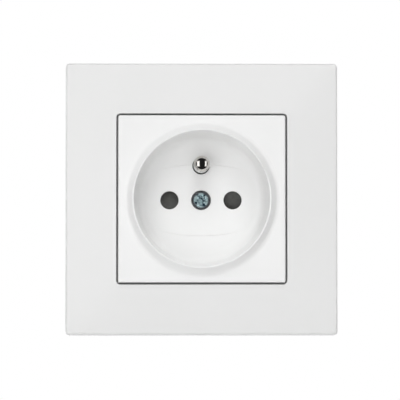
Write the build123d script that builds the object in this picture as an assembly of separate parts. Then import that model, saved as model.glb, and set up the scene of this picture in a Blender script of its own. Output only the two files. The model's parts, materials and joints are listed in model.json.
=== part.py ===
from build123d import *
import math
import os

# Earthed wall socket, one gang. Lengths in mm.
# Drawn facing up: x to the right, y up the wall, z out of the wall, wall surface at z = 0.
# At saving each piece is turned so that the socket looks toward -Y with +Z up.

# Standard plug dimensions
pin_spacing = 19.0
pin_dia = 4.8
earth_offset = 10.4
earth_pin_rise = 14.0
recess_dia = 40.0
recess_depth = 15.0

# Cover frame
frame_side = 81.2
frame_draft = 2.9
frame_wall = 2.0
frame_corner_r = 1.4
frame_front_edge_r = 0.9
frame_crown_r = 240.0
frame_inner_z = 8.7
ledge_z = 6.5
ledge_thick = 1.8
ledge_width = 2.0
plate_gap = 0.5

# Centre plate and recess cup
plate_side = 49.4
plate_corner_r = 0.6
plate_z = 9.5
plate_skin = 2.0
plate_skirt = 3.2
crest_z = 11.5
crest_lip = 0.3
crest_bend_r = 0.35
collar_angle = 46.0
collar_foot_r = 1.6
cup_wall = 1.1
cup_draft = 0.9
floor_corner_r = 2.5
floor_thick = 2.0
pin_hole_dia = 5.5
earth_hole_gap = 0.2
band_rise = 0.25
band_slope = 50.0

# Centre screw
screw_dia = 3.0
screw_head_dia = 5.4
screw_head_thick = 1.35
screw_head_gap = 0.27
screw_head_sink = 0.35
screw_slot_width = 0.9
screw_slot_depth = 0.75

# Turning shutter
boss_r = 3.0
running_gap = 0.08
body_gap = 0.3
shutter_thick = 2.5
shutter_half_angle = 21.0
shutter_open_angle = 38.0
stop_lead = 5.0
retainer_thick = 0.8
stake_angles = (30, 150, 270)

# Mounting plate
ring_inset = 5.0
ring_thick = 1.0
cup_gap = 0.4
fixing_spacing = 60.0
slot_width = 4.2
slot_length = 7.0
rivet_dia = 2.5
rivet_head_r = 1.9

# Mechanism base
base_wall = 1.3
base_depth = 29.2
base_rear_wall = 1.8
cover_thick = 1.4

# Contacts and terminals
sleeve_in_r = 2.35
sheet = 0.8
leaf = 0.4
wire_hole_dia = 2.8
wire_half_pitch = 3.8
terminal_drop = 8.0
terminal_half = 5.4

# Claws
claw_y = 8.0
claw_screw_dia = 3.5
claw_head_r = 3.1
claw_travel = 5.4
claw_slope = 22.0
claw_thick = 1.2
claw_half = 3.6

# Levels that follow from the above
floor_z = crest_z - recess_depth
floor_back_z = floor_z - floor_thick
recess_r = recess_dia / 2
cup_r = recess_r + cup_wall
crest_r = recess_r + crest_lip
shutter_front_z = floor_back_z - body_gap
shutter_back_z = shutter_front_z - shutter_thick
retainer_z = shutter_back_z - body_gap
retainer_back_z = retainer_z - retainer_thick
cup_back_z = retainer_back_z - 0.2
cover_z = retainer_back_z - 1.0
base_floor_z = cover_z - cover_thick
rear_floor_z = base_rear_wall - base_depth
claw_back_z = rear_floor_z + 5.7

# Places across that follow from the above
pin_r = pin_dia / 2
pin_x = pin_spacing / 2
shutter_r = pin_x + 3.9
stake_r = recess_r - 3.5
base_half_width = cup_r + cup_gap + base_wall
base_r = base_half_width + 4.2
claw_x = base_half_width + 2.1
box_r = claw_x + 4.5
rivet_angle = 59.0
rivet_ring_r = cup_r + 2.58
rivet_x = rivet_ring_r * math.cos(math.radians(rivet_angle))
rivet_y = rivet_ring_r * math.sin(math.radians(rivet_angle))
opening_side = plate_side + 2 * plate_gap
ledge_side = plate_side - 2 * ledge_width
frame_crown_z = frame_inner_z + (opening_side / 2) ** 2 / (2 * frame_crown_r)
frame_mitre_r = 0.88 * (frame_side - opening_side)

# A length that reaches past every piece, for cuts that go right through
past = 60.0


def save(name, shape):
    export_step(shape.rotate(Axis.X, 90), "parts/" + name + ".step")


def rod(radius, low, high, x=0.0, y=0.0):
    return Pos(x, y, (low + high) / 2) * Cylinder(radius, high - low)


def block(x0, x1, y0, y1, z0, z1):
    centre = Pos((x0 + x1) / 2, (y0 + y1) / 2, (z0 + z1) / 2)
    return centre * Box(x1 - x0, y1 - y0, z1 - z0)


def square_rod(side, corner, low, high):
    outline = Pos(0, 0, low) * RectangleRounded(side, side, corner)
    return extrude(outline, amount=high - low)


def slab(outline, low, high):
    return extrude(Pos(0, 0, low) * outline, amount=high - low)


def side_profile(points):
    # A closed outline in x and z, standing in the plane y = 0
    return Plane.XZ * make_face(Polyline(*points, close=True))


def across(profile, half_width):
    return extrude(profile, amount=half_width, both=True)


def turned(shape, angle):
    return shape.rotate(Axis.Z, angle)


def mirrored(shape):
    return mirror(shape, about=Plane.YZ)


# Cover frame: two arched prisms crossing, with their mitres and the rim rounded


def arched_block(crown, reach):
    edge_z = crown - reach**2 / (2 * frame_crown_r)
    floor = Line((-reach, 0), (reach, 0))
    right = Line((reach, 0), (reach, edge_z))
    arch = ThreePointArc((reach, edge_z), (0, crown), (-reach, edge_z))
    left = Line((-reach, edge_z), (-reach, 0))
    face = make_face([floor, right, arch, left])
    prism = extrude(Plane.XZ * face, amount=reach, both=True)
    return prism & turned(prism, 90)


def on_diagonal(edge):
    place = edge.center()
    return abs(abs(place.X) - abs(place.Y)) < 0.01


def on_rim(edge):
    place = edge.center()
    return place.Z > ledge_z - 2 and max(abs(place.X), abs(place.Y)) > frame_side / 2 - 1.6


frame = arched_block(frame_crown_z, 0.53 * frame_side)
core = opening_side / 2 - 0.5
frame -= block(-core, core, -core, core, -1, past)
mitres = frame.edges().filter_by(on_diagonal).sort_by(SortBy.LENGTH)[-4:]
frame = fillet(mitres, frame_mitre_r)
frame_outline = RectangleRounded(frame_side, frame_side, frame_corner_r)
frame &= extrude(frame_outline, amount=frame_crown_z + 1, taper=frame_draft)
frame = fillet(frame.edges().filter_by(on_rim), frame_front_edge_r)

foot_wall = 1.6
neck_wall = 1.7
rib_thick = 1.2
rib_low_z = 4.0
inner_foot = ledge_side + 2 * foot_wall
inner_neck = opening_side + 2 * neck_wall
hollow = arched_block(frame_crown_z - frame_wall, frame_side / 2 - frame_wall)
hollow -= square_rod(inner_neck, 2.0, 0, past)
foot_zone = square_rod(inner_neck, 2.0, 0, ledge_z - ledge_thick)
hollow += foot_zone - square_rod(inner_foot, 2.5, 0, ledge_z)
for angle in (0, 90, 180, 270):
    for place in (-2, -1, 0, 1, 2):
        low_side = place * frame_side / 6 - rib_thick / 2
        rib = block(inner_foot / 2, frame_side / 2, low_side, low_side + rib_thick, rib_low_z, past)
        hollow -= turned(rib, angle)
frame -= hollow
opening_corner = plate_corner_r + plate_gap
frame -= square_rod(opening_side, opening_corner, ledge_z, past)
frame -= square_rod(ledge_side, 3.0, -1, past)
frame -= square_rod(inner_neck, 1.0, -1, ring_thick)
notch_half = claw_head_r + 0.6
notch_low = claw_y - notch_half
notch_high = claw_y + notch_half
notch = block(ledge_side / 2 - 0.2, inner_foot / 2 + 0.2, notch_low, notch_high, 0, rib_low_z)
frame -= notch
frame -= mirrored(notch)
lip_low = Pos(0, 0, frame_inner_z - 0.35) * RectangleRounded(opening_side, opening_side, opening_corner)
frame -= extrude(lip_low, amount=0.25, taper=-22)
lip_side = opening_side + 0.2
lip_high = Pos(0, 0, frame_inner_z - 0.1) * RectangleRounded(lip_side, lip_side, opening_corner + 0.1)
frame -= extrude(lip_high, amount=0.4, taper=-66)
save("cover_frame", frame)


# Centre plate: square plate, raised collar and round cup with a floor

plate = square_rod(plate_side, plate_corner_r, ledge_z, plate_z)
front_edges = plate.faces().sort_by(Axis.Z)[-1].edges()
plate = fillet(front_edges, 0.4)
skirt_in = plate_side - 2 * plate_skirt
plate -= square_rod(skirt_in, 2.0, 0, plate_z - plate_skin)
rib_reach = (plate_side - plate_skirt) / math.sqrt(2)
for angle in (45, 135, 225, 315):
    rib = block(cup_r - 0.5, rib_reach, -rib_thick / 2, rib_thick / 2, ledge_z, plate_z - 1)
    plate += turned(rib, angle)
plate -= rod(cup_r - 0.4, -past, past)

wall_foot_r = recess_r - cup_draft
mid_drop = 1 - math.cos(math.radians(45))
foot_start = (wall_foot_r - floor_corner_r, floor_z)
foot_mid = (wall_foot_r - floor_corner_r * mid_drop, floor_z + floor_corner_r * mid_drop)
foot_end = (wall_foot_r, floor_z + floor_corner_r)
lip_start = (recess_r, crest_z - crest_lip)
lip_mid = (recess_r + crest_lip * mid_drop, crest_z - crest_lip * mid_drop)
crest = (crest_r, crest_z)
collar_sin = math.sin(math.radians(collar_angle))
collar_cos = math.cos(math.radians(collar_angle))
collar_drop = 1 - collar_cos
half_sin = math.sin(math.radians(collar_angle / 2))
half_drop = 1 - math.cos(math.radians(collar_angle / 2))
bend_mid = (crest_r + crest_bend_r * half_sin, crest_z - crest_bend_r * half_drop)
bend_end = (crest_r + crest_bend_r * collar_sin, crest_z - crest_bend_r * collar_drop)
cone_foot_z = plate_z + collar_foot_r * collar_drop
cone_foot_r = bend_end[0] + (bend_end[1] - cone_foot_z) * collar_cos / collar_sin
collar_r = cone_foot_r + collar_foot_r * collar_sin
foot_bend_mid = (collar_r - collar_foot_r * half_sin, plate_z + collar_foot_r * half_drop)
floor_line = Line((0, floor_z), foot_start)
foot_arc = ThreePointArc(foot_start, foot_mid, foot_end)
wall_line = Line(foot_end, lip_start)
lip_arc = ThreePointArc(lip_start, lip_mid, crest)
crest_arc = ThreePointArc(crest, bend_mid, bend_end)
collar_cone = Line(bend_end, (cone_foot_r, cone_foot_z))
collar_arc = ThreePointArc((cone_foot_r, cone_foot_z), foot_bend_mid, (collar_r, plate_z))
web_z = plate_z - 1.2
rear_rim_r = recess_r - 0.1
outside = Polyline(
    (collar_r, plate_z),
    (collar_r, web_z),
    (cup_r, web_z),
    (cup_r, cup_back_z),
    (rear_rim_r, cup_back_z),
    (rear_rim_r, floor_back_z),
    (0, floor_back_z),
    (0, floor_z),
)
rim_lines = [lip_arc, crest_arc, collar_cone, collar_arc]
cup_face = make_face([floor_line, foot_arc, wall_line] + rim_lines + [outside])
cup = revolve(Plane.XZ * cup_face, Axis.Z)
plate += cup

# Raised band across the floor, with sloping arched edges that fade out at both ends

band_half = 13.0
band_middle_y = 11.0
band_end_y = 9.16
band_low = ThreePointArc((-band_half, -band_end_y), (0, -band_middle_y), (band_half, -band_end_y))
band_high = ThreePointArc((band_half, band_end_y), (0, band_middle_y), (-band_half, band_end_y))
band_right = Line((band_half, -band_end_y), (band_half, band_end_y))
band_left = Line((-band_half, band_end_y), (-band_half, -band_end_y))
band_face = make_face([band_low, band_right, band_high, band_left])
band_r = band_half**2 / (2 * band_rise)
band_roll = Pos(0, 0, floor_z + band_rise - band_r) * Rot(90, 0, 0) * Cylinder(band_r, recess_dia)
band = extrude(Pos(0, 0, floor_z - 0.1) * band_face, amount=0.6, taper=band_slope)
plate += band & band_roll

# Screw boss, the stakes for the retainer and the stops for the shutter

head_top = floor_z - screw_head_sink
seat_z = head_top - screw_head_thick
shoulder_r = boss_r + 1.4
shoulder_z = seat_z - 1.0
plate += rod(shoulder_r, shoulder_z, floor_back_z + 0.2)
plate += rod(boss_r, retainer_back_z, floor_back_z)
stake_dia = 1.6
for angle in stake_angles:
    pillar = rod(1.6, retainer_z, floor_back_z + 0.2, stake_r)
    pillar += rod(stake_dia / 2, retainer_back_z, floor_back_z, stake_r)
    pillar += rod(1.4, retainer_back_z - 0.5, retainer_back_z, stake_r)
    plate += turned(pillar, angle)
closed_stop_angle = -shutter_half_angle - stop_lead
open_stop_angle = shutter_open_angle + shutter_half_angle + stop_lead
for angle in (0, 180):
    closed_stop = block(shutter_r - 4.9, shutter_r - 0.4, -0.5, 0.5, shutter_back_z, floor_back_z + 0.2)
    plate += turned(closed_stop, angle + closed_stop_angle)
    open_stop = block(shutter_r - 2.9, shutter_r - 0.4, -0.5, 0.5, shutter_back_z, floor_back_z + 0.2)
    plate += turned(open_stop, angle + open_stop_angle)
spring_post = rod(0.8, shutter_back_z, floor_back_z + 0.2, 8.0)
plate += turned(spring_post, 115)
plate -= rod(screw_head_dia / 2 + screw_head_gap, seat_z, plate_z)
plate -= rod(screw_dia / 2 + 0.2, -past, past)
for side in (-1, 1):
    plate -= rod(pin_hole_dia / 2, -past, past, side * pin_x)
plate -= rod(pin_r + earth_hole_gap, -past, past, 0, earth_offset)
save("centre_plate", plate)


# Centre screw: cheese head with cross and slot, threaded shank as a plain rod

head = rod(screw_head_dia / 2, seat_z, head_top)
head = fillet(head.edges().sort_by(Axis.Z)[-1], 0.35)
slot_half = screw_slot_width / 2
head -= block(-screw_head_dia, screw_head_dia, -slot_half, slot_half, head_top - screw_slot_depth, past)
for angle in (0, 90):
    wing = side_profile([(-1.75, 0.1), (1.75, 0.1), (0.55, -1.2), (-0.55, -1.2)])
    wing = Pos(0, 0, head_top) * across(wing, 0.42)
    head -= turned(wing, angle + 90)
shank_end = base_floor_z - 6.0
screw = head + rod(screw_dia / 2, shank_end + 0.5, seat_z)
screw += Pos(0, 0, shank_end + 0.25) * Cone(1.1, screw_dia / 2, 0.5)
save("centre_screw", screw)


# Shutter: hub and two wings with slanted faces that the plug pins push aside

wing_spread = past * math.tan(math.radians(shutter_half_angle))
wing_outline = make_face(Polyline((0, 0), (past, wing_spread), (past, -wing_spread), close=True))
wing = slab(wing_outline, shutter_back_z, shutter_front_z)
wing &= rod(shutter_r, shutter_back_z, shutter_front_z)
ramp = make_face(Polyline((3.4, 0.1), (-5.6, 0.1), (-5.6, -1.95), (3.4, 0), close=True))
ramp = Pos(6.8, 0, shutter_front_z) * extrude(Plane.YZ * ramp, amount=8.0)
wing -= ramp
shutter = rod(5.2, shutter_back_z, shutter_front_z) + wing + turned(wing, 180)
shutter -= rod(shoulder_r + body_gap, shoulder_z - body_gap, shutter_front_z + 1)
shutter -= rod(boss_r + running_gap, -past, past)
groove_top = shutter_back_z + 0.95
groove = rod(6.6, shutter_back_z - 1, groove_top) - rod(5.5, shutter_back_z - 1, groove_top)
shutter -= groove
leg_slot = block(6.0, 9.4, -0.4, 0.4, shutter_back_z - 1, groove_top)
shutter -= turned(leg_slot, -13)
save("shutter", shutter)


# Shutter spring: one wire, a wide open loop with a leg at each end

wire_r = 0.22
spring_z = shutter_back_z + 0.5
loop_r = 6.05
loop = revolve(Plane.XZ * Pos(loop_r, spring_z) * Circle(wire_r), Axis.Z, 242)
spring = turned(loop, 105)
for leg_angle, leg_end in ((105, 9.3), (-13, 9.0)):
    leg = Pos((loop_r + leg_end) / 2, 0, spring_z) * Rot(0, 90, 0)
    leg = leg * Cylinder(wire_r, leg_end - loop_r)
    bend = Pos(loop_r, 0, spring_z) * Sphere(wire_r)
    spring += turned(leg + bend, leg_angle)
save("shutter_spring", spring)


# Shutter retainer: thin disc staked to the back of the recess

retainer = rod(recess_r - 0.3, retainer_back_z, retainer_z)
retainer -= rod(boss_r + 0.1, -past, past)
for side in (-1, 1):
    retainer -= rod(pin_hole_dia / 2 + 0.2, -past, past, side * pin_x)
retainer -= rod(pin_r + 0.3, -past, past, 0, earth_offset)
for angle in stake_angles:
    retainer -= turned(rod(stake_dia / 2 + 0.05, -past, past, stake_r), angle)
save("shutter_retainer", retainer)


# Support ring: zinc plated sheet with cut corners, slots and turned-up edges

half = frame_side / 2 - ring_inset
cut = 10.0
flange_z = 2.6
flange_at = 17.0
flange_half = 6.0
plaster_screw_r = 1.9
plaster_screw_at = 0.425 * fixing_spacing
ring_outline = make_face(
    Polyline(
        (half - cut, half),
        (-half + cut, half),
        (-half, half - cut),
        (-half, -half + cut),
        (-half + cut, -half),
        (half - cut, -half),
        (half, -half + cut),
        (half, half - cut),
        close=True,
    )
)
ring = slab(ring_outline, 0, ring_thick) - rod(cup_r + cup_gap, -1, 2)
for angle in (0, 90, 180, 270):
    slot = Pos(fixing_spacing / 2, 0) * SlotOverall(slot_length, slot_width)
    ring -= turned(slab(slot, -1, 2), angle)
    ring -= turned(rod(plaster_screw_r, -1, 2, plaster_screw_at, plaster_screw_at), angle)
    for offset in (-flange_at, flange_at):
        flange = block(half - ring_thick, half, offset - flange_half, offset + flange_half, 0, flange_z)
        ring += turned(flange, angle)
        nick = block(half - ring_thick + 0.1, half + 1, offset - 1.2, offset + 1.2, -1, 3)
        ring -= turned(nick, angle)
for side in (-1, 1):
    ring -= rod(claw_screw_dia / 2 + running_gap, -1, 2, side * claw_x, claw_y)
    for level in (-1, 1):
        ring -= rod(rivet_dia / 2, -1, 2, side * rivet_x, level * rivet_y)
save("support_ring", ring)


# Ring rivets: domed heads on the ring, shanks in the base

rivets = []
for side in (-1, 1):
    for level in (-1, 1):
        rivet = rod(rivet_head_r, ring_thick, ring_thick + 0.8)
        rivet = fillet(rivet.edges().sort_by(Axis.Z)[-1], 0.6)
        rivet += rod(rivet_dia / 2, -7.0, ring_thick)
        rivets.append(Pos(side * rivet_x, level * rivet_y, 0) * rivet)
save("ring_rivets", Compound(children=rivets))


# Mechanism base: moulded body, open at the front, with pockets and terminals

tab_u = cup_r - 0.8
terminal_u0 = tab_u - 6.6
terminal_u1 = tab_u + 1.1
wire_u = tab_u - 1.25
earth_shift = 1.6
tab_half = terminal_half - 0.5


def base_outline(inset):
    disc = Circle(base_r - inset)
    return disc & Rectangle(2 * (base_half_width - inset), 4 * base_r)


def at_right(shape):
    return Pos(0, -terminal_drop, 0) * shape


def at_left(shape):
    return mirrored(at_right(shape))


def at_earth(shape):
    return turned(Pos(earth_shift, 0, 0) * shape, 90)


pocket = block(terminal_u0, terminal_u1, -terminal_half, terminal_half, rear_floor_z, 0)
lever_hole = block(tab_u - 2.7, tab_u - 0.1, -1.5, 1.5, -base_depth - 1, 0)
pocket += lever_hole
for side in (-1, 1):
    level = side * wire_half_pitch
    pocket += rod(wire_hole_dia / 2, -base_depth - 1, 0, wire_u, level)
    mouth = Pos(wire_u, level, -base_depth + 0.25) * Cone(wire_hole_dia / 2 + 0.4, wire_hole_dia / 2, 0.5)
    pocket += mouth
below_floor = block(-past, past, -past, past, -past, base_floor_z)
pocket &= below_floor
strap_z = base_floor_z - 2.4
run_low_z = rear_floor_z + 2.8
sleeve_pocket_r = sleeve_in_r + 1.4

base = slab(base_outline(0), -base_depth, 0)
back_edges = base.faces().sort_by(Axis.Z)[0].edges()
base = fillet(back_edges, 1.0)
base -= slab(base_outline(base_wall), base_floor_z, 1)
for side in (-1, 1):
    for level in (-1, 1):
        post = rod(2.3, base_floor_z, 0, side * rivet_x, level * rivet_y)
        base += post & slab(base_outline(0.2), base_floor_z, 0)
for place in (at_right, at_left, at_earth):
    base -= place(pocket)
for side in (-1, 1):
    for level in (-1, 1):
        base -= rod(rivet_dia / 2, -7.2, 1, side * rivet_x, level * rivet_y)
    strip_x = sorted((side * (pin_x + 3.0), side * terminal_u1))
    run = block(strip_x[0], strip_x[1], -0.9, 0.9, run_low_z, base_floor_z)
    drop_x = sorted((side * (tab_u - 0.4), side * terminal_u1))
    drop = block(drop_x[0], drop_x[1], -3.0, 0.9, run_low_z, base_floor_z)
    base -= rod(sleeve_pocket_r, rear_floor_z + 2.0, base_floor_z, side * pin_x) + run + drop
base -= rod(3.3, base_floor_z - 7.5, base_floor_z)
strap_pocket_end = terminal_u0 + earth_shift + 1.0
base -= block(-terminal_half, terminal_half, earth_offset - 2.0, strap_pocket_end, strap_z, base_floor_z)
base -= rod(4.2, strap_z, base_floor_z, 0, earth_offset)
cover_screw_spots = ((12.5, 11.5), (-12.5, 11.5), (0.0, -14.0))
for x, y in cover_screw_spots:
    base -= rod(0.9, base_floor_z - 6, base_floor_z, x, y)

niche_x = base_half_width - 0.9
niche_half = claw_half + body_gap
slope = math.tan(math.radians(claw_slope))
ramp_foot = claw_back_z - 1.3
ramp_end = claw_back_z + claw_thick + claw_travel + 0.8
niche_top = ramp_end + 0.8
ramp_top_x = niche_x + (ramp_end - ramp_foot) * slope
ramp_profile = side_profile(
    [
        (niche_x - 0.6, ramp_foot),
        (niche_x, ramp_foot),
        (ramp_top_x, ramp_end),
        (ramp_top_x, niche_top),
        (niche_x - 0.6, niche_top),
    ]
)
for side in (-1, 1):
    span = sorted((side * niche_x, side * past))
    base -= block(span[0], span[1], claw_y - niche_half, claw_y + niche_half, -past, niche_top)
for level in (-1, 1):
    ramp = Pos(0, claw_y + level * 3.175, 0) * across(ramp_profile, 0.425)
    base += ramp
    base += mirrored(ramp)
foot_low_z = rear_floor_z + 9.4
for side in (-1, 1):
    foot_y = sorted((side * (base_r - 3.4), side * past))
    foot = block(-14.0, 14.0, foot_y[0], foot_y[1], foot_low_z, foot_low_z + 1.5)
    base += foot & rod(base_r + 0.6, foot_low_z, foot_low_z + 1.5)
save("mechanism_base", base)


# Contact cover: closes the pockets and guides the plug pins

cover = slab(base_outline(base_wall + 0.25), base_floor_z, cover_z)
for side in (-1, 1):
    for level in (-1, 1):
        cover -= rod(2.6, -past, past, side * rivet_x, level * rivet_y)
    cover -= rod(pin_r + 0.35, -past, past, side * pin_x)
    funnel = Pos(side * pin_x, 0, cover_z - 0.3) * Cone(pin_r + 0.35, pin_r + 0.95, 0.6)
    cover -= funnel
cover -= rod(pin_r + 0.2, -past, past, 0, earth_offset)
cover -= rod(3.8, base_floor_z, base_floor_z + 0.9, 0, earth_offset)
cover -= rod(screw_dia / 2 + 0.3, -past, past)
tongue_y = tab_u + earth_shift
cover -= block(-3.3, 3.3, tongue_y - 0.3, tongue_y + sheet + 0.3, -past, past)
for x, y in cover_screw_spots:
    cover -= rod(1.1, -past, past, x, y)
    cover -= rod(2.1, cover_z - 0.9, 0, x, y)
save("contact_cover", cover)


# Cover screws: small recessed-head screws

small_screws = []
for x, y in cover_screw_spots:
    small = rod(1.9, cover_z - 0.9, cover_z - 0.1, x, y)
    small += rod(0.85, base_floor_z - 5, cover_z - 0.9, x, y)
    small -= block(x - 1.2, x + 1.2, y - 0.25, y + 0.25, cover_z - 0.5, cover_z)
    small -= block(x - 0.25, x + 0.25, y - 1.2, y + 1.2, cover_z - 0.5, cover_z)
    small_screws.append(small)
save("cover_screws", Compound(children=small_screws))


# Centre nut: threaded post under the contact cover

nut = rod(3.1, base_floor_z - 0.9, base_floor_z)
hexagon = Pos(0, 0, base_floor_z - 7) * RegularPolygon(2.8, 6)
nut += extrude(hexagon, amount=6.5)
nut -= rod(screw_dia / 2 + 0.05, -past, past)
save("centre_nut", nut)


# Earth pin: domed plug-earthing pin with a flange and a rivet end

tip_z = floor_z + earth_pin_rise
pin_foot_z = base_floor_z - 0.2
neck_r = pin_r - 0.5
neck_z = floor_z + 0.2
rivet_end_r = 1.6
pin = rod(pin_r, neck_z, tip_z)
pin = fillet(pin.edges().sort_by(Axis.Z)[-1], pin_r * 0.86)
pin += rod(neck_r, pin_foot_z, neck_z)
pin += rod(3.6, pin_foot_z, pin_foot_z + 1.0)
pin += rod(rivet_end_r, pin_foot_z - sheet, pin_foot_z)
rivet_head = rod(2.8, pin_foot_z - sheet - 0.7, pin_foot_z - sheet)
pin += fillet(rivet_head.edges().sort_by(Axis.Z)[0], 0.5)
save("earth_pin", Pos(0, earth_offset, 0) * pin)


# Earth strap: flat strip from the pin to a tab for the wires and a tongue to the ring

tab_end = rear_floor_z + 2.4
strap = block(-tab_half, tab_half, earth_offset - 1.5, tongue_y + sheet, pin_foot_z - sheet, pin_foot_z)
strap += rod(3.8, pin_foot_z - sheet, pin_foot_z, 0, earth_offset)
strap -= rod(rivet_end_r, -past, past, 0, earth_offset)
strap += block(-tab_half, tab_half, tongue_y, tongue_y + sheet, tab_end, pin_foot_z - sheet / 2)
strap += block(-3.0, 3.0, tongue_y, tongue_y + sheet, pin_foot_z - sheet / 2, 0)
save("earth_strap", strap)


# Plug contacts: slotted sleeve with a flared mouth, a strip and a terminal tab

sleeve_top = base_floor_z - 0.3
sleeve_out_r = sleeve_in_r + 0.5
sleeve_end = rear_floor_z + 3.1
sleeve_points = [
    (sleeve_in_r, sleeve_end),
    (sleeve_out_r, sleeve_end),
    (sleeve_out_r, sleeve_top - 1.2),
    (sleeve_out_r + 0.55, sleeve_top),
    (sleeve_in_r + 0.65, sleeve_top),
    (sleeve_in_r, sleeve_top - 1.4),
]
sleeve = revolve(side_profile(sleeve_points), Axis.Z)
for angle in (45, 135):
    slit = block(-4, 4, -0.3, 0.3, sleeve_end + 3.0, 0)
    sleeve -= turned(slit, angle)
contact = Pos(pin_x, 0, 0) * sleeve
strip_low_z = rear_floor_z + 4.9
strip_high_z = base_floor_z - 2.7
tab_low = -terminal_drop - tab_half
tab_high = -terminal_drop + tab_half
contact += block(pin_x + sleeve_in_r + 0.2, tab_u + sheet, -sheet / 2, sheet / 2, strip_low_z, strip_high_z)
contact += block(tab_u, tab_u + sheet, tab_low, sheet / 2, strip_low_z, strip_high_z)
contact += block(tab_u, tab_u + sheet, tab_low, tab_high, tab_end, strip_high_z)
save("contact_right", contact)
save("contact_left", mirrored(contact))

clip_low_z = (sleeve_end + sleeve_top) / 2 - 0.8
clip = rod(sleeve_out_r + 0.4, clip_low_z, clip_low_z + 3.0) - rod(sleeve_out_r, -past, past)
clip -= block(0, past, -1.4, 1.4, -past, past)
clip = Pos(pin_x, 0, 0) * clip
save("sleeve_clip_right", clip)
save("sleeve_clip_left", mirrored(clip))


# Clamp springs: bent leaf with a slit between the two wire tongues

bend_u = tab_u - 4.4
bend_z = rear_floor_z + 3.2
bend_r = 1.6
lean = math.radians(17.7)
leg_start = (bend_u + bend_r * math.cos(lean), bend_z - bend_r * math.sin(lean))
leg_tip_z = base_floor_z - 5.27
leg_long = (leg_tip_z - leg_start[1]) / math.cos(lean)
leg_tip = (leg_start[0] + leg_long * math.sin(lean), leg_tip_z)
back_leg = Line((bend_u - bend_r, base_floor_z - 3.7), (bend_u - bend_r, bend_z))
bottom = (bend_u, bend_z - bend_r)
bend = ThreePointArc((bend_u - bend_r, bend_z), bottom, leg_start)
front_leg = Line(leg_start, leg_tip)
leaf_face = trace(back_leg + bend + front_leg, leaf)
clamp = across(Plane.XZ * leaf_face, tab_half)
clamp -= block(bend_u + 0.7, past, -0.35, 0.35, bend_z + 0.4, past)
save("clamp_spring_right", at_right(clamp))
save("clamp_spring_left", at_left(clamp))
save("clamp_spring_earth", at_earth(clamp))


# Release levers: push buttons at the back that open the clamp springs

lever_in = tab_u - 2.4
lever_out = tab_u - 0.4
lever_top = rear_floor_z + 5.9
lever_points = [
    (lever_in, -base_depth - 1.0),
    (lever_out, -base_depth - 1.0),
    (lever_out, lever_top),
    (lever_out - 0.68, lever_top),
    (lever_in, rear_floor_z + 1.76),
]
lever = across(side_profile(lever_points), 1.2)
lever += block(lever_in, lever_out, -2.0, 2.0, rear_floor_z + body_gap, rear_floor_z + 1.2)
lever -= block(lever_in + 0.4, lever_out - 0.4, -0.5, 0.5, -past, -base_depth - 0.4)
save("release_lever_right", at_right(lever))
save("release_lever_left", at_left(lever))
save("release_lever_earth", at_earth(lever))


# Claws: fork behind the ring, toothed on the outside, riding on the base ramps

edge_gap = 0.35
claw_front_z = claw_back_z + 7.1
edge_low = niche_x + (claw_back_z - ramp_foot) * slope + edge_gap
edge_high = edge_low + claw_thick * slope
leg_x = claw_x + claw_screw_dia / 2 + edge_gap
claw_outline = side_profile(
    [
        (edge_low, claw_back_z),
        (box_r + 1.6, claw_back_z),
        (box_r + 1.6, claw_front_z),
        (leg_x, claw_front_z),
        (leg_x, claw_back_z + claw_thick),
        (edge_high, claw_back_z + claw_thick),
    ]
)
claw = across(claw_outline, claw_half)
claw &= rod(box_r, -past, past, 0, -claw_y)
fork_half = claw_screw_dia / 2 + 0.2
fork_slot = block(0, leg_x, -fork_half, fork_half, claw_back_z - 1, claw_back_z + claw_thick + 0.01)
claw -= fork_slot
bite = rod(past, -past, past, 0, -claw_y) - rod(box_r - 0.45, -past, past, 0, -claw_y)
for step in range(4):
    low = claw_back_z + 0.9 + step * 1.65
    groove = block(0, past, -past, past, low, low + 0.8)
    claw -= groove & bite
claw = Pos(0, claw_y, 0) * claw
save("claw_right", claw)
save("claw_left", mirrored(claw))


# Claw nuts: square nuts on the claw screws, behind the forks

nut_front = claw_back_z - body_gap
nut_half = 2.45
claw_nut = block(-nut_half, nut_half, -nut_half, nut_half, nut_front - 2.2, nut_front)
claw_nut -= rod(claw_screw_dia / 2 + running_gap, -past, past)
claw_nut = Pos(claw_x, claw_y, 0) * claw_nut
save("claw_nut_right", claw_nut)
save("claw_nut_left", mirrored(claw_nut))


# Claw screws: head in front of the ring, long shank behind it

claw_head_z = ring_thick + body_gap
claw_screw = rod(claw_head_r, claw_head_z, claw_head_z + 2.1)
claw_screw = fillet(claw_screw.edges().sort_by(Axis.Z)[-1], 0.4)
claw_screw -= block(-past, past, -0.45, 0.45, claw_head_z + 1.1, past)
claw_screw -= block(-0.45, 0.45, -1.8, 1.8, claw_head_z + 1.1, past)
claw_screw += rod(claw_screw_dia / 2, rear_floor_z + 1.4, claw_head_z)
claw_screw = Pos(claw_x, claw_y, 0) * claw_screw
save("claw_screw_right", claw_screw)
save("claw_screw_left", mirrored(claw_screw))
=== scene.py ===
import json
import math

import bpy
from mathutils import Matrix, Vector


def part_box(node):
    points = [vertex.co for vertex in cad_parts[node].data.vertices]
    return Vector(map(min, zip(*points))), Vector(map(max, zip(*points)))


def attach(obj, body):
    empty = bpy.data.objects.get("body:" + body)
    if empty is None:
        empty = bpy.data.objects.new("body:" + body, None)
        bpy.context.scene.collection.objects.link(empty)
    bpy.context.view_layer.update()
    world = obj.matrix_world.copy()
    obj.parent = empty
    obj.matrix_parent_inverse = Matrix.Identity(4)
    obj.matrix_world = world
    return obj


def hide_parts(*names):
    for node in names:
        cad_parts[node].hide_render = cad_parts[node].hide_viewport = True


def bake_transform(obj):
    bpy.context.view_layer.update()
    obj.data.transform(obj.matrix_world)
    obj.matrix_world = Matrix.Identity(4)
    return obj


# Looks of the earthed wall socket. Lengths in metres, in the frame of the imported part.

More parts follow.
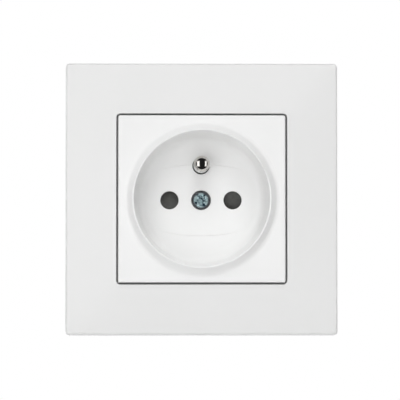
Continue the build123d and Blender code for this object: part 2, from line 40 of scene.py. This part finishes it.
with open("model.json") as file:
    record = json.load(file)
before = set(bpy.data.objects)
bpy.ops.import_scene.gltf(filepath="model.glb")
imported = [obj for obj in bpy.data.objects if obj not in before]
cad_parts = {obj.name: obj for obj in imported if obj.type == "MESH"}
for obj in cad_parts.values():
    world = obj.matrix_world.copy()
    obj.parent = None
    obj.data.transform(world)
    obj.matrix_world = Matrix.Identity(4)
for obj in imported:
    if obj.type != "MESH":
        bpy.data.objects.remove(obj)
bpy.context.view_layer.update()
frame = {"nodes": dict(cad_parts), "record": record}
record = frame["record"]


# Node helpers


class Nodes:
    """Short ways to add nodes to the tree of a material or of the world."""

    def __init__(self, tree, coords):
        self.tree = tree
        self.coords = self.add("ShaderNodeTexCoord").outputs[coords]

    def add(self, kind, **settings):
        node = self.tree.nodes.new(kind)
        for key, value in settings.items():
            setattr(node, key, value)
        return node

    def link(self, source, target):
        self.tree.links.new(source, target)

    def maths(self, operation, first, second=0.0):
        node = self.add("ShaderNodeMath", operation=operation)
        for socket, value in zip(node.inputs, (first, second)):
            if isinstance(value, (int, float)):
                socket.default_value = value
            else:
                self.link(value, socket)
        return node.outputs[0]

    def noise(self, scale, detail=2.0, coords=None, roughness=0.5):
        node = self.add("ShaderNodeTexNoise")
        node.inputs["Scale"].default_value = scale
        node.inputs["Detail"].default_value = detail
        node.inputs["Roughness"].default_value = roughness
        self.link(coords or self.coords, node.inputs["Vector"])
        return node.outputs["Fac"]

    def stretched(self, x, y, z):
        node = self.add("ShaderNodeMapping")
        node.inputs["Scale"].default_value = (x, y, z)
        self.link(self.coords, node.inputs["Vector"])
        return node.outputs["Vector"]

    def spread(self, value, low, high, out_low, out_high):
        node = self.add("ShaderNodeMapRange")
        node.inputs["From Min"].default_value = low
        node.inputs["From Max"].default_value = high
        node.inputs["To Min"].default_value = out_low
        node.inputs["To Max"].default_value = out_high
        self.link(value, node.inputs["Value"])
        return node.outputs["Result"]

    def split(self):
        node = self.add("ShaderNodeSeparateXYZ")
        self.link(self.coords, node.inputs[0])
        return node.outputs

    def colours(self, value, first, second, low=0.35, high=0.65):
        node = self.add("ShaderNodeMix", data_type="RGBA")
        self.link(self.spread(value, low, high, 0.0, 1.0), node.inputs["Factor"])
        for socket, colour in ((node.inputs["A"], first), (node.inputs["B"], second)):
            if isinstance(colour, tuple):
                socket.default_value = (*colour, 1.0)
            else:
                self.link(colour, socket)
        return node.outputs["Result"]


class Surface(Nodes):
    """One material on the standard shader."""

    def __init__(self, name):
        self.material = bpy.data.materials.new(name)
        self.material.use_nodes = True
        super().__init__(self.material.node_tree, "Object")
        self.shader = self.tree.nodes["Principled BSDF"]

    def set(self, **values):
        for key, value in values.items():
            self.shader.inputs[key.replace("_", " ")].default_value = value

    def colour(self, output):
        self.link(output, self.shader.inputs["Base Color"])

    def roughness(self, value, low, high):
        output = self.spread(value, 0.3, 0.7, low, high)
        self.link(output, self.shader.inputs["Roughness"])

    def relief(self, edge, *layers):
        """Rounds edges by the radius edge and lays bumps over that, each as (height, depth, strength)."""
        bevel = self.add("ShaderNodeBevel", samples=6)
        bevel.inputs["Radius"].default_value = edge
        normal = bevel.outputs["Normal"]
        for height, depth, strength in layers:
            bump = self.add("ShaderNodeBump")
            bump.inputs["Distance"].default_value = depth
            bump.inputs["Strength"].default_value = strength
            self.link(height, bump.inputs["Height"])
            self.link(normal, bump.inputs["Normal"])
            normal = bump.outputs["Normal"]
        self.link(normal, self.shader.inputs["Normal"])

    def from_axis(self, x, z):
        """Distance from a line along Y through x, z, and place along that line."""
        place = self.split()
        across = self.maths("SUBTRACT", place["X"], x)
        up = self.maths("SUBTRACT", place["Z"], z)
        squares = [self.maths("MULTIPLY", side, side) for side in (across, up)]
        return self.maths("SQRT", self.maths("ADD", *squares)), place["Y"]


# Materials

# Painted shade in narrow gaps: how far the occlusion reaches, and the colour it darkens to.
gap_reach = 0.0014
gap_shade = (0.24, 0.24, 0.24)
# Painted shade on the centre screw's head: how far inside its rim the darkening starts and ends.
rim_fade = (0.0007, 0.0004)


def gloss_white(name, white):
    """White plastic, with painted shade: its colour darkens where two pieces almost touch."""
    s = Surface(name)
    bright = tuple(white + step for step in (0.002, 0.003, 0.0))
    dull = tuple(white + step for step in (-0.008, -0.006, -0.011))
    # Painted shade: the occlusion node darkens the base colour towards gap_shade in narrow gaps, where shade
    # falls.
    near = s.add("ShaderNodeAmbientOcclusion", samples=8)
    near.inputs["Distance"].default_value = gap_reach
    tint = s.colours(s.noise(45.0, 3.0), bright, dull)
    s.colour(s.colours(near.outputs["AO"], gap_shade, tint, 0.1, 0.5))
    s.roughness(s.noise(380.0, 2.0), 0.29, 0.36)
    ripple = s.noise(260.0, 2.0)
    grain = s.noise(2600.0, 2.0)
    s.relief(0.00018, (ripple, 0.00002, 0.06), (grain, 0.000004, 0.08))
    return s.material


def dark_plastic():
    s = Surface("dark_plastic")
    tint = s.noise(700.0, 4.0)
    s.colour(s.colours(tint, (0.092, 0.092, 0.087), (0.116, 0.116, 0.110)))
    s.roughness(s.noise(1500.0, 2.0), 0.42, 0.58)
    s.relief(0.00012, (s.noise(3500.0, 3.0), 0.00001, 0.5))
    return s.material


def grey_plastic():
    s = Surface("grey_plastic")
    fleck = s.noise(1600.0, 5.0, roughness=0.7)
    cloud = s.noise(60.0, 2.0)
    body = s.colours(cloud, (0.60, 0.61, 0.62), (0.65, 0.66, 0.67))
    s.colour(s.colours(fleck, body, (0.50, 0.51, 0.52), 0.60, 0.75))
    s.roughness(s.noise(900.0, 3.0), 0.46, 0.62)
    s.relief(0.0002, (s.noise(2200.0, 3.0), 0.00002, 0.5), (s.noise(120.0, 1.0), 0.00004, 0.25))
    return s.material


def orange_plastic():
    s = Surface("orange_plastic")
    s.colour(s.colours(s.noise(300.0, 3.0), (0.80, 0.33, 0.075), (0.74, 0.29, 0.06)))
    s.roughness(s.noise(1300.0, 2.0), 0.34, 0.48)
    s.relief(0.00015, (s.noise(2400.0, 3.0), 0.000012, 0.5))
    return s.material


def zinc():
    """Bluish zinc plating."""
    s = Surface("zinc_steel")
    s.set(Metallic=1.0)
    cloud = s.noise(170.0, 4.0, roughness=0.6)
    body = s.colours(cloud, (0.60, 0.67, 0.71), (0.72, 0.76, 0.78))
    stain = s.noise(90.0, 3.0, s.stretched(1.0, 2.0, 1.3))
    s.colour(s.colours(stain, body, (0.66, 0.66, 0.72), 0.55, 0.75))
    s.roughness(s.noise(1200.0, 3.0), 0.24, 0.40)
    s.relief(0.00012, (s.noise(1900.0, 3.0), 0.000012, 0.4), (s.noise(5200.0, 2.0), 0.000004, 0.5))
    return s.material


def struck_zinc(axis, rim):
    """Zinc plating with shallow dents, and painted shade darkening it towards a rim at that distance from the
    axis.
    """
    s = Surface("struck_zinc")
    s.set(Metallic=0.5)
    dents = s.noise(900.0, 1.5, roughness=0.6)
    radius = s.from_axis(*axis)[0]
    body = s.colours(s.noise(760.0, 2.5), (0.04, 0.08, 0.11), (0.70, 0.90, 0.94), 0.40, 0.55)
    fade_start, fade_end = (rim - inset for inset in rim_fade)
    # Painted shade: the head darkens towards its rim, in the gap round it.
    s.colour(s.colours(radius, body, (0.16, 0.165, 0.18), fade_start, fade_end))
    s.roughness(s.noise(1600.0, 2.0), 0.16, 0.30)
    s.relief(0.0001, (dents, 0.00022, 1.0), (s.noise(4200.0, 2.0), 0.00001, 0.6))
    return s.material


def nickel(axis):
    """Polished nickel plating with fine turning rings about the axis."""
    s = Surface("nickel")
    s.set(Metallic=1.0)
    s.colour(s.colours(s.noise(240.0, 3.0), (0.64, 0.62, 0.59), (0.69, 0.67, 0.64)))
    s.roughness(s.noise(1700.0, 3.0), 0.05, 0.11)
    radius, depth = s.from_axis(*axis)
    rings = s.add("ShaderNodeCombineXYZ")
    s.link(s.maths("MULTIPLY", radius, 0.4), rings.inputs["X"])
    s.link(depth, rings.inputs["Y"])
    s.relief(0.0001, (s.noise(5000.0, 2.0, rings.outputs[0]), 0.000004, 0.5))
    return s.material


def spring_steel():
    s = Surface("spring_steel")
    s.set(Metallic=1.0)
    drawn = s.noise(2500.0, 2.0, s.stretched(1.0, 0.1, 1.0))
    s.colour(s.colours(drawn, (0.52, 0.52, 0.53), (0.64, 0.64, 0.63)))
    s.roughness(drawn, 0.26, 0.42)
    s.relief(0.00006, (drawn, 0.000006, 0.5))
    return s.material


def brass():
    s = Surface("brass")
    s.set(Metallic=1.0)
    rolled = s.noise(1800.0, 2.0, s.stretched(1.0, 0.06, 1.0))
    tarnish = s.noise(150.0, 4.0)
    body = s.colours(rolled, (0.78, 0.60, 0.28), (0.84, 0.66, 0.34))
    s.colour(s.colours(tarnish, body, (0.66, 0.47, 0.22), 0.55, 0.8))
    s.roughness(s.noise(800.0, 3.0), 0.24, 0.42)
    s.relief(0.00008, (rolled, 0.000008, 0.5))
    return s.material


def round_piece(name):
    """Axis (x, z) and radius of a piece that is round about a line along Y."""
    low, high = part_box(name)
    axis = ((low[0] + high[0]) / 2, (low[2] + high[2]) / 2)
    return axis, (high[0] - low[0]) / 2


screw_axis, screw_radius = round_piece("centre_screw")
pin_axis = round_piece("earth_pin")[0]
surfaces = {
    "white_plastic": gloss_white("white_plastic", 0.935),
    "dark_plastic": dark_plastic(),
    "grey_plastic": grey_plastic(),
    "orange_plastic": orange_plastic(),
    "zinc_steel": zinc(),
    "nickel": nickel(pin_axis),
    "spring_steel": spring_steel(),
    "brass": brass(),
}
own_surface = {
    "centre_screw": struck_zinc(screw_axis, screw_radius),
    "cover_frame": gloss_white("frame_white", 0.865),
}
for part in record["subparts"]:
    node = frame["nodes"][part["node"]]
    node.data.materials.clear()
    node.data.materials.append(own_surface.get(part["node"], surfaces[part["material_slot"]]))


# Claw screws: the head of the solid, and a shaft with a real right-hand thread

thread_pitch = 0.0006
thread_depth = 0.00035
crest_share = 0.12
flank_share = 0.70
thread_turn_steps = 32
thread_length_steps = 12
plain_neck = 0.0035
tip_band = 0.0001
head_step = 0.0002
sunk_in_head = 0.0002
same_level = 0.00001


def thread_cut(phase):
    """Depth of the cut, from 0 at the crest to 1 at the root, for a part of one turn."""
    rise = abs(phase % 1.0 - 0.5) * 2.0
    return min(1.0, max(0.0, (rise - crest_share) / flank_share))


def screw_head(solid, head_back):
    """Points and faces of a solid up to head_back, with one point at each place."""
    points = []
    faces = []
    known = {}
    for face in solid.polygons:
        places = [solid.vertices[i].co for i in face.vertices]
        if max(place.y for place in places) > head_back + same_level:
            continue
        corners = []
        for place in places:
            spot = tuple(round(value, 7) for value in place)
            if spot not in known:
                known[spot] = len(points)
                points.append(spot)
            corners.append(known[spot])
        if len(set(corners)) == len(corners):
            faces.append(corners)
    return points, faces


def screw_shaft(axis, radius, start, tip, first):
    """Points and faces of a threaded shaft along Y, whose points count from first."""
    rows = int((tip - start) / thread_pitch * thread_length_steps) + 1
    steps = thread_turn_steps
    points = []
    for row in range(rows + 1):
        y = start + (tip - start) * row / rows
        run_in = min(1.0, max(0.0, (y - start - plain_neck) / thread_pitch))
        point = 1.0 - min(1.0, (tip - y) / thread_pitch)
        for step in range(steps):
            turn = 2 * math.pi * step / steps
            cut = thread_cut(y / thread_pitch - step / steps) * run_in
            r = radius - thread_depth * max(cut, point)
            points.append((axis[0] + r * math.sin(turn), y, axis[1] + r * math.cos(turn)))
    faces = []
    for row in range(rows):
        low_row = first + row * steps
        for step in range(steps):
            after = (step + 1) % steps
            faces.append((low_row + step, low_row + after, low_row + steps + after, low_row + steps + step))
    end = first + rows * steps
    faces.append([first + step for step in reversed(range(steps))])
    faces.append([end + step for step in range(steps)])
    return points, faces


def threaded_screw(side):
    """Puts a claw screw with a cut thread in place of the plain one."""
    name = "claw_screw_" + side
    solid = frame["nodes"][name].data
    places = [vertex.co for vertex in solid.vertices]
    axis = [(min(p[i] for p in places) + max(p[i] for p in places)) / 2 for i in (0, 2)]
    aside = [math.hypot(p.x - axis[0], p.z - axis[1]) for p in places]
    tip = max(p.y for p in places)
    radius = max(r for p, r in zip(places, aside) if p.y > tip - tip_band)
    head_back = max(p.y for p, r in zip(places, aside) if r > radius + head_step)
    points, faces = screw_head(solid, head_back)
    more_points, more_faces = screw_shaft(axis, radius, head_back - sunk_in_head, tip, len(points))
    mesh = bpy.data.meshes.new(name + "_threaded")
    mesh.from_pydata(points + more_points, [], faces + more_faces)
    mesh.materials.append(surfaces["zinc_steel"])
    mesh.validate()
    mesh.update()
    screw = bpy.data.objects.new(name + "_threaded", mesh)
    bpy.context.scene.collection.objects.link(screw)
    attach(screw, name)
    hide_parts(name)


for side in ("left", "right"):
    threaded_screw(side)


# Clamp springs: each leaf is shown as a still copy of its mesh, and the span of its bend, from the back leg
# towards the lever, is worked out but not used

still_reach = 0.0006
bend_reach = 0.0030
for place in ("left", "right", "earth"):
    name = "clamp_spring_" + place
    lever = "release_lever_" + place
    leaf_low, leaf_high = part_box(name)
    lever_low, lever_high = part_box(lever)
    middle = [(low + high) / 2 for low, high in zip(leaf_low, leaf_high)]
    offsets = [(low + high) / 2 - centre for low, high, centre in zip(lever_low, lever_high, middle)]
    across = 0 if abs(offsets[0]) > abs(offsets[2]) else 2
    toward = math.copysign(1.0, offsets[across])
    back = leaf_low[across] if toward > 0 else leaf_high[across]
    bend_start, bend_end = list(middle), list(middle)
    bend_start[across] = back + toward * still_reach
    bend_end[across] = back + toward * bend_reach
    leaf = bpy.data.objects.new(name + "_leaf", frame["nodes"][name].data.copy())
    bpy.context.scene.collection.objects.link(leaf)
    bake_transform(leaf)
    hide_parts(name)


# Studio: pale floor, soft lamps and a white surround

floor_mesh = bpy.data.meshes.new("studio_floor")
reach = 3.0
floor_level = -0.6
corners = [(reach * x, reach * y, floor_level) for x, y in ((-1, -1), (1, -1), (1, 1), (-1, 1))]
floor_mesh.from_pydata(corners, [], [(0, 1, 2, 3)])
floor = bpy.data.objects.new("studio_floor", floor_mesh)
bpy.context.scene.collection.objects.link(floor)
paper = Surface("studio_paper")
paper.colour(paper.colours(paper.noise(3.0, 2.0), (0.80, 0.80, 0.80), (0.82, 0.82, 0.82)))
paper.set(Roughness=0.9)
pale = paper.add("ShaderNodeEmission")
paper.link(paper.colours(paper.noise(2.0, 2.0), (0.985, 0.985, 0.985), (1.0, 1.0, 1.0)), pale.inputs["Color"])
shown = paper.add("ShaderNodeMixShader")
paper.link(paper.add("ShaderNodeLightPath").outputs["Is Camera Ray"], shown.inputs["Fac"])
paper.link(paper.shader.outputs["BSDF"], shown.inputs[1])
paper.link(pale.outputs["Emission"], shown.inputs[2])
paper.link(shown.outputs["Shader"], paper.tree.nodes["Material Output"].inputs["Surface"])
floor_mesh.materials.append(paper.material)
floor.visible_glossy = False

# Each lamp: degrees away from the socket's axis, turn about it from the right, strength
lamps = {
    "key_top": (48, 90, 1.00),
    "low": (28, 270, 0.30),
    "front_left": (12, 180, 0.41),
    "high_top": (68, 90, 0.36),
    "mid_lower_left": (28, 225, 0.25),
    "lower_left": (48, 225, 0.205),
    "mid_top": (28, 90, 0.19),
    "mid_lower_right": (28, 315, 0.157),
    "mid_right": (28, 0, 0.10),
    "left": (48, 180, 0.075),
    "lower": (48, 270, 0.08),
    "rear_right": (140, 30, 0.45),
    "rear_left": (140, 150, 0.45),
    "rear_low": (140, 270, 0.5),
    "side_right": (130, 0, 0.5),
    "side_left": (130, 180, 0.5),
}
lamp_distance = 1.6
lamp_width = 0.7
lamp_power = 10.0
lowest_lamp = 0.5
level_sine = 0.001
for name, (off_axis, turn, strength) in lamps.items():
    aside = math.sin(math.radians(off_axis))
    across = aside * math.cos(math.radians(turn))
    up = aside * math.sin(math.radians(turn))
    away = Vector((across, -math.cos(math.radians(off_axis)), up))
    distance = min(lamp_distance, lowest_lamp / max(-up, level_sine))
    lamp = bpy.data.lights.new(name, "AREA")
    lamp.shape = "DISK"
    lamp.size = lamp_width * distance
    lamp.energy = lamp_power * strength * (distance / lamp_distance) ** 2
    holder = bpy.data.objects.new(name, lamp)
    holder.location = away * distance
    holder.visible_glossy = False
    holder.rotation_mode = "QUATERNION"
    holder.rotation_quaternion = (-away).to_track_quat("-Z", "Y")
    bpy.context.scene.collection.objects.link(holder)

# World: white for the camera and through clear pieces, a weak even glow for the surfaces,
# and for mirrors a dark room in front with a bright panel on each side and white behind.
# The panels' edges are parts of a view direction of length 1
ambient = 0.05
left_glow = 1.8
right_glow = 1.6
dark_room = 0.02
world = bpy.data.worlds.new("surround")
world.use_nodes = True
bpy.context.scene.world = world
world.node_tree.nodes.clear()
sky = Nodes(world.node_tree, "Generated")
glows = []
for strength in (ambient, 1.0, 1.0):
    glow = sky.add("ShaderNodeBackground")
    glow.inputs["Color"].default_value = (1.0, 1.0, 1.0, 1.0)
    glow.inputs["Strength"].default_value = strength
    glows.append(glow)
soft, mirrored, white = glows
way = sky.split()
left_panel = sky.spread(way["X"], -0.46, -0.34, left_glow, 0.0)
right_panel = sky.spread(way["X"], 0.52, 0.62, 0.0, right_glow)
inner = sky.spread(sky.maths("ABSOLUTE", way["X"]), 0.82, 0.92, 1.0, 0.0)
panel_side = sky.maths("MULTIPLY", sky.maths("MAXIMUM", left_panel, right_panel), inner)
panel_level = sky.spread(sky.maths("ABSOLUTE", way["Z"]), 0.35, 0.60, 1.0, 0.0)
behind = sky.spread(way["Y"], -0.25, 0.25, dark_room, 1.0)
seen = sky.maths("MAXIMUM", sky.maths("MULTIPLY", panel_side, panel_level), behind)
sky.link(seen, mirrored.inputs["Strength"])
path = sky.add("ShaderNodeLightPath").outputs
direct = sky.maths("MAXIMUM", path["Is Camera Ray"], path["Is Transmission Ray"])
blend = soft.outputs[0]
for glow, part in ((mirrored, path["Is Glossy Ray"]), (white, direct)):
    mix = sky.add("ShaderNodeMixShader")
    sky.link(part, mix.inputs["Fac"])
    sky.link(blend, mix.inputs[1])
    sky.link(glow.outputs[0], mix.inputs[2])
    blend = mix.outputs[0]
sky.link(blend, sky.add("ShaderNodeOutputWorld").inputs["Surface"])


# Camera at the photograph's view: a long lens, a little below and left of the socket's axis.
# Sensor and lens are in millimetres

sensor_width = 36.0
focal_length = 199.2
eye_place = Vector((-0.0131, -0.6622, -0.0228))
eye_target = Vector((-0.00056, -0.0095, -0.00037))
camera = bpy.data.cameras.new("camera")
camera.sensor_width = sensor_width
camera.lens = focal_length
camera.clip_start = 0.01
camera.clip_end = 20.0
eye = bpy.data.objects.new("camera", camera)
eye.location = eye_place
eye.rotation_mode = "QUATERNION"
eye.rotation_quaternion = (eye_target - eye_place).to_track_quat("-Z", "Y")
bpy.context.scene.collection.objects.link(eye)
bpy.context.scene.camera = eye
bpy.context.scene.view_settings.view_transform = "Standard"
